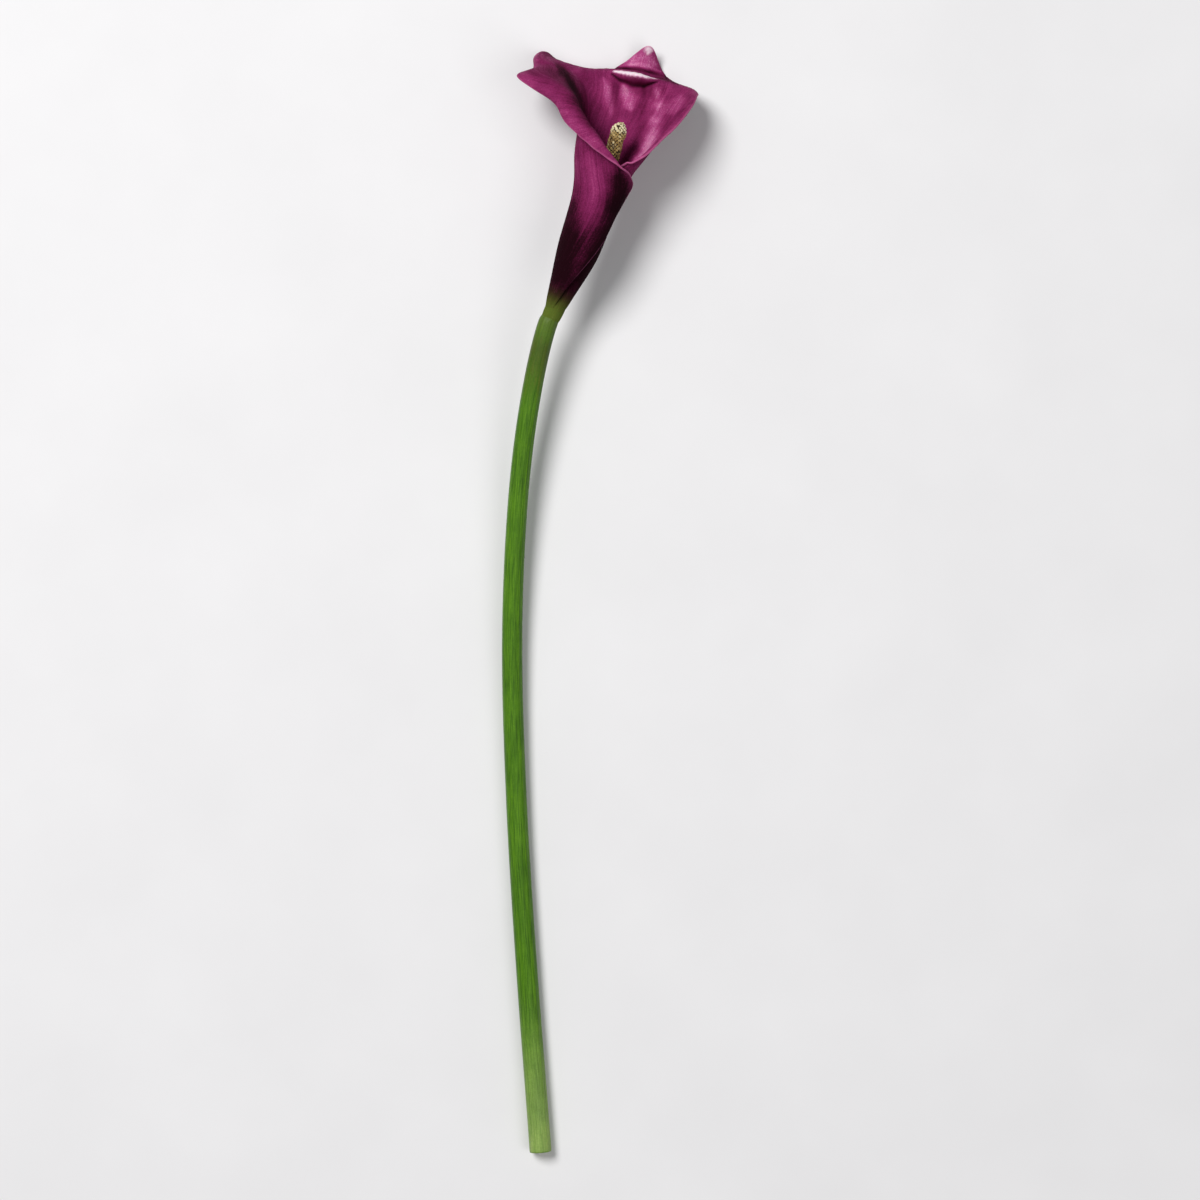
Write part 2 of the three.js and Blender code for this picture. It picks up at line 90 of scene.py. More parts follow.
# Meridians of the spathe from the lapped flap, round the left lobe, the tip and the right lobe, to the inner
# margin: turn from the tube's back in degrees, distance where it leaves the roll, the margin's roll (radius and
# degrees), mesh steps to the next meridian, and the points mouth, limb, shoulder, crest, brow and margin.
MERIDIANS = [
    (-240, 26, (0.8, 15), 12, [[18.4, 27.2, 22.6], [20.3, 30.7, 23], [21.9, 33.6, 23.3], [23.1, 35.6, 23.7],
                               [23.8, 36.9, 24.2], [24, 37.9, 24.8]]),
    (-220, 33, (1, 35), 16, [[18.2, 32.7, 27], [19.5, 35.6, 28], [20.5, 38, 28.9], [21.1, 39.4, 29.7],
                             [21.5, 40.4, 30.6], [21.6, 41, 31.6]]),
    (-185, 38, (1.2, 30), 20, [[14.6, 39.2, 29.7], [15.2, 42.6, 30.4], [15.7, 45.4, 31.4], [16.1, 47.2, 32.9],
                               [16, 47, 34.4], [15.3, 45.6, 34.9]]),
    (-142, 40, (1.3, 40), 18, [[9.6, 43.3, 28.4], [10.5, 47.4, 29.4], [11.4, 51, 30.8], [12, 53.4, 32.6],
                               [10.9, 52.9, 34.2], [9, 51, 34.2]]),
    (-110, 41, (1.4, 50), 16, [[7.2, 46, 25], [7.8, 51.4, 26.3], [8.6, 56.2, 28.3], [8.2, 59.4, 30.6],
                               [5.9, 59, 32], [3.9, 57.2, 31.5]]),
    (-86, 42, (1.5, 60), 16, [[7.1, 48, 21.4], [7.9, 54.8, 22.2], [7.8, 61.4, 24.8], [5, 65.2, 27.6],
                              [1.4, 65.5, 28.4], [-0.9, 64.3, 27.2]]),
    (-70, 42, (1.2, 40), 14, [[7.8, 49, 18.2], [8.8, 57.6, 17], [7.2, 65.8, 18.6], [1.2, 70.2, 22.2],
                              [-5, 71.4, 23.4], [-10.3, 70.9, 22.4]]),
    (-60, 42, (1.4, 60), 10, [[8.6, 49.5, 16], [9.8, 58.8, 12.8], [8.2, 68, 13.2], [1.4, 73.6, 15.8],
                              [-3.5, 74.9, 15.2], [-6.1, 74.3, 13.2]]),
    (-54, 42, (1.1, 40), 12, [[9.1, 49.8, 15.1], [10.4, 59.4, 11.5], [8.5, 68.9, 11], [0.5, 75.2, 13.8],
                              [-3.9, 77, 12.2], [-5.8, 78.7, 6.5]]),
    (-47, 42, (1.1, 90), 14, [[9.9, 50, 14], [11.3, 60.2, 10], [9.2, 70.2, 8.6], [1.2, 76.6, 10],
                              [-1.8, 78.3, 8.8], [-2.6, 81.3, 1.2]]),
    (-36, 42, (1.4, 80), 12, [[11.4, 50, 12.6], [13, 61, 8.8], [11.8, 71, 7], [7, 75.6, 6.9],
                              [4.2, 77.4, 4.4], [2.2, 78, 1.9]]),
    (-20, 42, (1.4, 100), 12, [[13.6, 50, 11.6], [15.8, 61.4, 7.8], [15.6, 70.8, 6.4], [14, 74.2, 5.8],
                               [13.1, 75.6, 4.1], [12.6, 75.9, 2.4]]),
    (-9, 42, (1.2, 60), 16, [[15.9, 50.2, 11.2], [18.9, 61.4, 7.2], [20, 70, 5.6], [20.4, 73.6, 8.2],
                             [21.6, 76.4, 3.4], [22.5, 78.3, 2.1]]),
    (0, 42, (1.2, 20), 16, [[18.2, 50.5, 11], [22.2, 60.8, 7.4], [25, 68.8, 5.6], [26.3, 72.2, 12.4],
                            [27.6, 75.3, 4.6], [29.5, 82.1, 6.8]]),
    (10, 42, (1.2, 50), 16, [[20.6, 50.5, 11.2], [26, 60, 7.8], [30, 66.6, 7], [32, 70.6, 10.4],
                             [33, 73.2, 3.4], [33.5, 75.1, 1]]),
    (27, 42, (1.4, 80), 14, [[23.5, 49.6, 12.6], [30.2, 58, 10.7], [35.8, 64.9, 10.5], [39.1, 68.4, 9.8],
                             [40.5, 69.3, 8.8], [41.2, 69.6, 7.5]]),
    (44, 42, (1.4, 90), 14, [[24.7, 48, 14.8], [31, 55.6, 13.1], [36.7, 62.2, 12.9], [40.2, 65.8, 12.4],
                             [41.5, 66.7, 12.3], [42.1, 66.9, 12.6]]),
    (62, 42, (1.3, 90), 14, [[25, 45.4, 17.6], [30.7, 51.9, 16.9], [35.7, 57.4, 17], [38.9, 60.9, 17.1],
                             [40.2, 62, 17.7], [40.8, 62.5, 18.5]]),
    (85, 40.5, (1.2, 90), 12, [[23.8, 41.6, 21.4], [27.5, 46, 21.4], [31.1, 50.2, 21.4], [33.9, 53.1, 21.5],
                               [35.2, 54.4, 22.3], [35.7, 55, 23.3]]),
    (106, 39, (1.1, 80), 12, [[22.1, 39.3, 23.8], [25, 43.1, 24], [27.9, 46.5, 24.1], [29.9, 48.9, 24.3],
                              [31.1, 50.1, 25], [31.6, 50.6, 25.9]]),
    (130, 37, (1, 60), 14, [[19.3, 36.7, 25.9], [21, 39.8, 26.4], [22.7, 42.3, 26.5], [24.3, 44, 26.6],
                            [25.3, 44.7, 27], [25.7, 44.9, 27.8]]),
    (172, 34, (1, 20), 14, [[14.2, 34, 26.9], [15.4, 36.4, 27.1], [16.7, 38.6, 27.2], [17.9, 40.4, 27.2],
                            [18.9, 41.6, 27.2], [19.7, 42.4, 27.4]]),
    (212, 29, (1, 5), 0, [[8.6, 30.2, 25.3], [9.6, 32.2, 25.7], [10.7, 34, 26], [11.8, 35.8, 26.2],
                          [13, 37.3, 26.4], [14.2, 38.5, 26.6]]),
]
RINGS = 4
STEPS_ALONG = [9, 9, 9, 9, 12, 14, 14, 16, 12, 9]  # fine mesh steps between the points of a meridian
COARSE_ALONG = [2, 2, 2, 3, 3, 3, 3, 3, 2, 2]  # the solids' steps, which the thickness is shared out by
STEPS_ROLL = {"fine": 10, "coarse": 3}
SHEET = {"base": 1.0, "tube": 0.9, "margin": 0.52}

# ---- smooth curves ----


def spline(knots, values):
    """The natural cubic spline through values at the rising knots, as a function of an array of places."""
    knots = np.asarray(knots, float)
    values = np.asarray(values, float).reshape(len(knots), -1)
    gap = np.diff(knots)
    rise = np.diff(values, axis=0) / gap[:, None]
    system = np.eye(len(knots))
    right = np.zeros(values.shape)
    for i in range(1, len(knots) - 1):
        system[i, i - 1 : i + 2] = gap[i - 1], 2 * (gap[i - 1] + gap[i]), gap[i]
        right[i] = 6 * (rise[i] - rise[i - 1])
    bend = np.linalg.solve(system, right)

    def at(places):
        places = np.atleast_1d(np.asarray(places, float))
        i = np.clip(np.searchsorted(knots, places) - 1, 0, len(gap) - 1)
        b = ((places - knots[i]) / gap[i])[:, None]
        a = 1 - b
        bulge = (gap[i] ** 2 / 6)[:, None]
        return a * values[i] + b * values[i + 1] + bulge * ((a**3 - a) * bend[i] + (b**3 - b) * bend[i + 1])

    return at


def smoothstep(x, low, high):
    t = np.clip((x - low) / (high - low), 0, 1)
    return t * t * (3 - 2 * t)


def unit(vectors):
    return vectors / np.maximum(np.linalg.norm(vectors, axis=-1, keepdims=True), 1e-12)


def row(values):
    """One number for each point, as a column that multiplies vectors."""
    return np.asarray(values)[..., None]


# ---- the rolled tube ----

TILT_CHANGE = math.radians(TUBE_TILT["base"] - TUBE_TILT["throat"]) / TUBE_LENGTH
tube_radius = spline(TUBE_RADIUS["at"], TUBE_RADIUS["mm"])


def tube_frame(distance):
    """Points of the tube's axis at distances from the joint, with the directions right, ahead and up."""
    distance = np.asarray(distance, float)
    start = math.radians(TUBE_TILT["base"])
    tilt = start - TILT_CHANGE * distance
    flat = np.zeros_like(tilt)
    x = (np.cos(tilt) - math.cos(start)) / TILT_CHANGE
    y = (math.sin(start) - np.sin(tilt)) / TILT_CHANGE
    origin = np.stack([x, y, JOINT_HEIGHT + TUBE_CLIMB * distance], -1)
    ahead = unit(np.stack([np.sin(tilt), np.cos(tilt), flat + TUBE_CLIMB], -1))
    right = np.stack([np.cos(tilt), -np.sin(tilt), flat], -1)
    return origin, right, ahead, np.cross(right, ahead)


def roll_point(turn, distance):
    origin, right, _, up = tube_frame(distance)
    grown = np.minimum(distance / LAP_PITCH["grown"], 1)
    pitch = LAP_PITCH["joint"] + (LAP_PITCH["tube"] - LAP_PITCH["joint"]) * grown
    radius = tube_radius(distance)[:, 0] - pitch * turn / 360
    angle = np.radians(turn)
    return origin + right * row(radius * np.sin(angle)) - up * row(radius * np.cos(angle))


# ---- the spathe ----


def grid_normals(grid):
    """Unit normals of a grid of points, on the side of the spathe's inner face."""
    padded = np.pad(grid, ((1, 1), (1, 1), (0, 0)), mode="edge")
    around = padded[2:, 1:-1] - padded[:-2, 1:-1]
    along = padded[1:-1, 2:] - padded[1:-1, :-2]
    return unit(np.cross(around, along))


def spathe_stations():
    """Places of the mesh lines among the meridians, closer together at the two free edges."""
    places = []
    for i, meridian in enumerate(MERIDIANS[:-1]):
        share = np.arange(meridian[3]) / meridian[3]
        if i == 0:
            share = share**1.7
        if i == len(MERIDIANS) - 2:
            share = 1 - (1 - share) ** 1.7
        places.extend(i + share)
    return np.array([*places, len(MERIDIANS) - 1])


def spathe_grid(stations):
    """The spathe's middle surface: its grid of points and each line's turn."""
    numbers = np.arange(len(MERIDIANS))
    turns = spline(numbers, [m[0] for m in MERIDIANS])(stations)[:, 0]
    leaves = spline(numbers, [m[1] for m in MERIDIANS])(stations)[:, 0]
    rolls = spline(numbers, [m[2] for m in MERIDIANS])(stations)
    guides = [spline(numbers, [m[4][k] for m in MERIDIANS])(stations) for k in range(6)]
    rings = np.arange(RINGS + 1) / RINGS
    lines = []
    for i, turn in enumerate(turns):
        widest = -MERIDIANS[0][0] if turn < 0 else MERIDIANS[-1][0]
        base = turn * BASE_WRAP / widest
        tube = roll_point(base + (turn - base) * rings, leaves[i] * rings)
        passed = np.concatenate([tube, [guide[i] for guide in guides]])
        knots = np.concatenate([[0], np.cumsum(np.linalg.norm(np.diff(passed, axis=0), axis=1))])
        places = [np.linspace(knots[k], knots[k + 1], n + 1)[1:] for k, n in enumerate(STEPS_ALONG)]
        lines.append(spline(knots, passed)(np.concatenate([[0], *places])))
    grid = np.array(lines)
    normals = grid_normals(grid)[:, -1]
    rim = grid[:, -1]
    padded = np.pad(rim, ((1, 1), (0, 0)), mode="edge")
    outward = unit(np.cross(normals, padded[2:] - padded[:-2]))
    share = 1 - (1 - np.arange(1, STEPS_ROLL["fine"] + 1) / STEPS_ROLL["fine"]) ** 1.5
    angle = np.radians(rolls[:, 1])[:, None] * share
    radius = rolls[:, :1]
    rolled = rim[:, None] + outward[:, None] * row(radius * np.sin(angle))
    rolled = rolled - normals[:, None] * row(radius * (1 - np.cos(angle)))
    return np.concatenate([grid, rolled], axis=1), turns


def sheet_thickness():
    """The sheet's thickness at each row, from the joint to the margin."""
    coarse = [0.0]
    for fine, steps in zip([*STEPS_ALONG, STEPS_ROLL["fine"]], [*COARSE_ALONG, STEPS_ROLL["coarse"]]):
        coarse.extend(coarse[-1] + steps * np.arange(1, fine + 1) / fine)
    share = np.array(coarse) / coarse[-1]
    return np.interp(share, [0, 0.5, 1], [SHEET["base"], SHEET["tube"], SHEET["margin"]])


def lengths(grid, axis):
    """Distance run over a grid along one axis, from its start."""
    step = np.linalg.norm(np.diff(grid, axis=axis), axis=2)
    return np.concatenate([np.zeros_like(np.take(step, [0], axis)), np.cumsum(step, axis)], axis)


def rounded(distance, radius):
    """A sheet's half thickness near its edge, as a share of the full one."""
    return np.sqrt(1 - (1 - np.clip(distance / radius, 0, 1)) ** 2)


def patch(points, path, reach, squash):
    """A soft patch along a path over the surface: 1 on it, 0 past its reach, and narrow at its two ends.

    A difference in height counts by squash, so at 0 the patch is laid out in plan.
    """
    path = np.array(path, float)
    run = np.concatenate([[0], np.cumsum(np.linalg.norm(np.diff(path, axis=0), axis=1))])
    best = np.zeros(points.shape[:-1])
    for a, b, start, end in zip(path, path[1:], run, run[1:]):
        share = np.clip(((points - a) @ (b - a)) / ((b - a) @ (b - a)), 0, 1)
        off = (points - a - row(share) * (b - a)) * np.array([1, 1, squash])
        place = (start + share * (end - start)) / run[-1]
        width = reach * (0.3 + 0.7 * np.sin(np.pi * place) ** 0.7)
        best = np.maximum(best, np.exp(-((np.linalg.norm(off, axis=-1) / width) ** 2)))
    return best


def vein_lane(turn, run, rim):
    """The turn at the joint of the vein that passes a point.

    Past the tube the veins bend over towards the tip.
    """
    widest = np.where(turn < 0, -MERIDIANS[0][0], MERIDIANS[-1][0])
    bent = 0.78 * smoothstep(run / (run + rim + 1e-6), 0.42, 1.05)
    return turn / (1 - bent * (1 - np.abs(turn) / widest))


def relief(turn, lane, run, rim):
    """How far the middle surface stands off the plain net.

    It has soft swells, pleats along the veins and a waved margin.
    """
    swell = 0.16 * np.sin(0.061 * turn + 1.3) * np.sin(0.105 * run + 0.6)
    swell += 0.1 * np.sin(0.13 * turn + 0.17 * run) * np.sin(0.21 * run + 2.1)
    pleat = 0.03 * np.cos(2 * np.pi * lane / 8.3 + 0.5 * np.sin(0.12 * run))
    pleat += 0.016 * np.cos(2 * np.pi * lane / 5.1 + 1.1)
    wave = 0.12 * np.sin(0.21 * turn + 0.8 * np.sin(0.09 * turn)) * np.exp(-rim / 5)
    grown = smoothstep(run, 16, 46)
    return grown * (swell + wave) + smoothstep(run, 8, 40) * pleat * smoothstep(rim, 0, 2)


def make_mesh(name, points, faces, attributes):
    """An object in the row frame from points in mm and faces, with one number a point for each attribute."""
    mesh = bpy.data.meshes.new(name)
    placed = (np.asarray(points) + JOINT_PLACE) * MM
    low, high = (np.array(corner) for corner in cad_box)
    placed = np.clip(placed, low, high)
    mesh.from_pydata(placed.tolist(), [], [list(map(int, f)) for f in faces])
    for key, values in attributes.items():
        layer = mesh.attributes.new(key, "FLOAT", "POINT")
        layer.data.foreach_set("value", np.asarray(values, np.float32).ravel())
    mesh.shade_smooth()
    mesh.update()
    made = bpy.data.objects.new(name, mesh)
    bpy.context.scene.collection.objects.link(made)
    return made


def tube_faces(rings, sides):
    """Faces of a tube of rings of points, closed by fans round two more points that follow them."""
    step, side = np.meshgrid(np.arange(rings - 1), np.arange(sides), indexing="ij")
    a = step * sides + side
    b = step * sides + (side + 1) % sides
    quads = np.stack([a, a + sides, b + sides, b], -1).reshape(-1, 4)
    ring = np.arange(sides)
    after = (ring + 1) % sides
    last = (rings - 1) * sides
    first_fan = np.stack([np.full(sides, rings * sides), ring, after], -1)
    last_fan = np.stack([np.full(sides, rings * sides + 1), last + after, last + ring], -1)
    return [quads, first_fan, last_fan]


def bar(frames, radii, angles):
    """Rings of points round a line: origins and two directions, and a radius for each ring and angle."""
    origin, right, _, up = frames
    ring = right[:, None] * row(radii * np.cos(angles)) + up[:, None] * row(radii * np.sin(angles))
    return origin[:, None] + ring


def build_spathe():
    stations = spathe_stations()
    grid, turns = spathe_grid(stations)
    rows, columns = grid.shape[:2]
    run = lengths(grid, 1)
    around = lengths(grid, 0)
    side = np.minimum(around, around[-1] - around)
    left = run[:, -1:] - run
    rim = np.minimum(left, side)
    turn = np.repeat(turns[:, None], columns, 1)
    lane = vein_lane(turn, run, left)
    shift = relief(turn, lane, run, rim)
    for path, reach, lift in FOLDS:
        shift = shift + lift * patch(grid, path, reach, 0) * smoothstep(run, 44, 52)
    grid = grid + grid_normals(grid) * row(shift)
    normals = grid_normals(grid)
    thick = np.repeat(sheet_thickness()[None], rows, 0)
    thick = thick * (0.62 + 0.38 * smoothstep(run, 0, 4))
    thick = thick * (1 - 0.35 * np.exp(-side / 2.5))
    half = 0.5 * thick * rounded(left, 0.6 * thick) * rounded(side, 0.6 * thick)
    inner = np.arange(rows * columns).reshape(rows, columns)
    open_edge = np.zeros((rows, columns), bool)
    open_edge[[0, -1]] = True
    open_edge[:, -1] = True
    outer = inner.copy()
    outer[~open_edge] = rows * columns + np.arange((~open_edge).sum())
    offset = normals * row(half)
    points = np.concatenate([(grid + offset).reshape(-1, 3), (grid - offset)[~open_edge]])
    points[:, 2] = np.maximum(points[:, 2], 0)
    faces = [np.stack([inner[:-1, :-1], inner[1:, :-1], inner[1:, 1:], inner[:-1, 1:]], -1).reshape(-1, 4)]
    faces.append(np.stack([outer[:-1, :-1], outer[:-1, 1:], outer[1:, 1:], outer[1:, :-1]], -1).reshape(-1, 4))
    base = np.stack([inner[1:, 0], inner[:-1, 0], outer[:-1, 0], outer[1:, 0]], -1)
    corners = [[inner[1, 0], inner[0, 0], outer[1, 0]], [inner[-1, 0], inner[-2, 0], outer[-2, 0]]]
    faces.extend([base[1:-1], corners])

    def both(values):
        return np.concatenate([values.ravel(), values[~open_edge]])

    is_inner = np.concatenate([np.ones(rows * columns), np.zeros((~open_edge).sum())])
    marks = {"lane": both(lane), "run": both(run), "rim": both(rim), "inner": is_inner}
    # The tone holds the skin's purple with painted light and shade laid in.
    marks["tone"] = np.where(is_inner > 0, *skin_tone_and_painted_light(points, both(turn), both(run), both(rim)))
    marks["pale"] = np.max([white * patch(points, path, reach, 0.5) for path, reach, white in RIDGE_HIGHLIGHT_AND_PALE_TIP], axis=0)
    marks["calm"] = np.max([patch(points, path, reach, 0) for path, reach in CALM], axis=0)
    return points, faces, marks


# Folds of the limb as paths: the crease on the near side of the fold below the tip, the valley behind it, its
# ridge, the long fold inside the left lobe, and the soft pleats that run up from the throat.
FOLD_CREASE = [[17.6, 74, 6], [20, 72, 6], [24, 70.4, 6], [28, 69.9, 6], [31.6, 70.8, 6]]
FOLD_VALLEY = [[16.6, 76.3, 4], [20.5, 76.4, 4], [25, 76, 4], [30, 75, 4], [34.3, 74, 3]]
FOLD_RIDGE = [[18.3, 74.9, 7], [20.5, 74.5, 8.4], [24, 73.6, 11.2], [28, 72.7, 12.4], [31.8, 72.2, 9.8]]
LEFT_FOLD = [[0.5, 77.3, 15], [3, 74.5, 14], [5.5, 69, 13], [7.4, 64.5, 13], [9.6, 60, 13], [12.6, 56, 13],
             [15.6, 51.5, 14], [18, 47, 14]]
PLEATS = [
    [[14.8, 72.5, 6], [16.6, 66.5, 7], [17.3, 62, 9], [17.8, 57, 11]],
    [[21.4, 70, 6], [23.2, 66, 7], [23.7, 60, 9]],
    [[31.7, 69.4, 8], [31.6, 64, 12], [30.9, 59, 15], [29.6, 53.5, 17], [28, 49.5, 19], [25, 46, 22],
     [22.4, 43.8, 24]],
]
PLEAT_VALLEYS = [
    [[19, 71, 6], [19.7, 66, 7], [19, 58, 11]],
    [[27.5, 69.5, 7], [27.2, 64, 8], [26.4, 57, 12], [24, 50, 16]],
]

# How far each fold stands up or is pressed in: path, reach and lift.
FOLDS = [(FOLD_CREASE, 0.75, -0.6), (FOLD_VALLEY, 0.8, -0.8), (LEFT_FOLD, 1.8, -0.35)]
FOLDS += [(path, 2, 0.3) for path in PLEATS] + [(path, 1.6, -0.25) for path in PLEAT_VALLEYS]

# Painted light and shade laid over the skin as strokes. Inside: painted highlights on the lit pleats, the right
# lobe and its corner, the near lip, the bump's left side, and the flap and its edge below the tip; painted
# shade in the creases, the pleats' valleys, the left fold, the bump, parts of the limb and right lobe, and
# round the spadix. Each stroke is a path, reach, how much a difference in height counts, and lighter or darker.
INNER_PAINTED_LIGHT_AND_SHADE = [
    ([[15.2, 72.5, 6], [17.2, 66.5, 7], [17.7, 61.5, 9]], 1.9, 0, 0.28),
    ([[21.4, 70.4, 6], [23, 66.4, 7], [23.6, 63, 8]], 2.4, 0, 0.4), (PLEATS[2], 2.4, 0.25, 0.45),
    (PLEAT_VALLEYS[0], 1.2, 0, -0.12), (PLEAT_VALLEYS[1], 1.8, 0, -0.16),
    (LEFT_FOLD, 2.4, 0, -0.21), ([[1, 75.6, 14], [3.6, 72, 14], [6, 67, 13]], 2.2, 0, -0.12),
    (FOLD_CREASE, 0.6, 0, -0.4), (FOLD_VALLEY, 0.65, 0, -0.45),
    ([[11, 74.5, 7], [11.6, 67, 9], [13.6, 60, 11]], 3, 0, -0.1),
    ([[-3.4, 80.6, 4], [-1.2, 80.2, 4], [0.6, 79, 4]], 1.4, 0, -0.16),
    ([[-5.6, 80.4, 5], [-5.2, 77.4, 9]], 1, 0, 0.3),
    ([[31.6, 72.8, 8], [34.6, 72.6, 6], [38.4, 70.8, 8]], 1.7, 0, -0.34),
    ([[38.6, 66, 12], [36.4, 61, 15]], 3.6, 0, 0.25),
    ([[33, 54.6, 18], [36, 59, 16], [39.6, 61.4, 17]], 1.8, 0, -0.12),
    ([[43, 69, 9], [43.6, 64, 16]], 1.4, 0, 0.14),
    ([[20.6, 41.6, 27], [23, 44, 25], [25.8, 46.8, 23], [29, 51, 20]], 1.8, 0.2, 0.34),
    ([[22, 78.6, 4], [27, 79.4, 4], [31, 77.4, 4]], 3.2, 0, 0.36),
    ([[18.4, 77.1, 4], [26, 77.2, 4], [33, 75.4, 4]], 0.6, 0, 0.3),
    ([[25, 52, 15], [22, 46, 17]], 3, 0, -0.2),
]
# Outside: a painted highlight down the tube's middle, and painted shade along its left side and under the
# lapped flap.
OUTER_PAINTED_LIGHT_AND_SHADE = [
    ([[8.4, 42, 24], [7.6, 36, 22], [7, 30, 21], [7, 24, 21]], 2.2, 0.3, -0.14),
    ([[10.4, 46.5, 30], [12.2, 41, 29], [12.5, 36, 27], [12, 30, 25], [11, 25, 23]], 3, 0.5, 0.18),
    ([[7.6, 34, 20], [6, 28, 20], [5.6, 22, 20], [4.4, 16, 19], [1.4, 8, 18]], 3.4, 0.4, -0.44),
    ([[20.4, 41.4, 29], [20.6, 36, 27], [18.6, 30, 24], [15.6, 22, 21], [12.8, 16, 20], [9, 9, 18]],
     3.8, 0.3, -0.46),
    ([[18.9, 43, 30], [18.6, 39, 28], [18, 35.5, 26]], 2, 0.3, -0.2),
]
# Paths of a painted highlight on the fold's ridge and of pale skin at the tip, with reach and whiteness, and
# paths along which streaks and veins fade out, with reach.
RIDGE_HIGHLIGHT_AND_PALE_TIP = [(FOLD_RIDGE, 1.15, 1), ([[28.9, 80.4, 5.8], [29.5, 84.4, 7]], 2.3, 0.8)]
CALM = [(FOLD_CREASE, 1.7), (FOLD_VALLEY, 1.5), (FOLD_RIDGE, 1.2)]


def skin_tone_and_painted_light(points, turn, run, rim):
    """How light the skin is, from 0 to 1, on the inner and on the outer face, painted light and shade included.
    """
    # Inside, the skin darkens into the throat, partly its own deeper purple and partly painted shade; the left
    # lobe gets painted shade, and its lip near the margin a painted highlight. Outside, it darkens towards the
    # foot.
    left = smoothstep(turn, -40, -75)
    inside = 0.13 + 0.41 * smoothstep(run, 32, 54) + left * (0.22 * smoothstep(rim, 5.2, 1.6) - 0.16)
    outside = 0.05 + 0.37 * smoothstep(run, 10, 36)
    for path, reach, squash, amount in INNER_PAINTED_LIGHT_AND_SHADE:
        inside = inside + amount * patch(points, path, reach, squash)
    for path, reach, squash, amount in OUTER_PAINTED_LIGHT_AND_SHADE:
        outside = outside + amount * patch(points, path, reach, squash)
    return inside, outside


def build_collar():
    """The foot where the spathe grows out of the scape, closed at both ends."""
    sides = STALK_SIDES
    distance = np.array(COLLAR["at"])
    angles = np.linspace(0, 2 * np.pi, sides, endpoint=False)
    lumps = 1 + 0.012 * np.sin(3 * angles + 1) + 0.01 * np.sin(7 * angles)
    points = bar(tube_frame(distance), row(COLLAR["mm"]) * lumps, angles).reshape(-1, 3)
    ends = tube_frame(distance[[0, -1]])[0]
    faces = tube_faces(len(distance), sides)
    run = np.concatenate([np.repeat(distance, sides), distance[[0, -1]]])
    lane = np.concatenate([np.tile((np.degrees(angles) + 270) % 360 - 180, len(distance)), [0, 0]])
    tone = np.full(len(run), 0.07)
    return np.concatenate([points, ends]), faces, {"lane": lane, "run": run, "tone": tone}


# ---- the scape ----


def through(points, count):
    """Evenly spaced points on the centripetal Catmull-Rom curve through the given ones."""
    points = np.asarray(points, float)
    points = np.concatenate([[2 * points[0] - points[1]], points, [2 * points[-1] - points[-2]]])
    fine = []
    for p0, p1, p2, p3 in zip(points, points[1:], points[2:], points[3:]):
        d0, d1, d2 = (math.sqrt(np.linalg.norm(b - a)) for a, b in ((p0, p1), (p1, p2), (p2, p3)))
        leave = ((p1 - p0) / d0 - (p2 - p0) / (d0 + d1) + (p2 - p1) / d1) * d1
        reach = ((p2 - p1) / d1 - (p3 - p1) / (d1 + d2) + (p3 - p2) / d2) * d1
        t = row(np.linspace(0, 1, 60, endpoint=False))
        cubic = (2 * p1 - 2 * p2 + leave + reach) * t**3 + (3 * p2 - 3 * p1 - 2 * leave - reach) * t**2
        fine.append(cubic + leave * t + p1)
    fine = np.concatenate([*fine, [points[-2]]])
    run = np.concatenate([[0], np.cumsum(np.linalg.norm(np.diff(fine, axis=0), axis=1))])
    places = np.linspace(0, run[-1], count)
    line = np.stack([np.interp(places, run, fine[:, k]) for k in range(3)], -1)
    return line, places


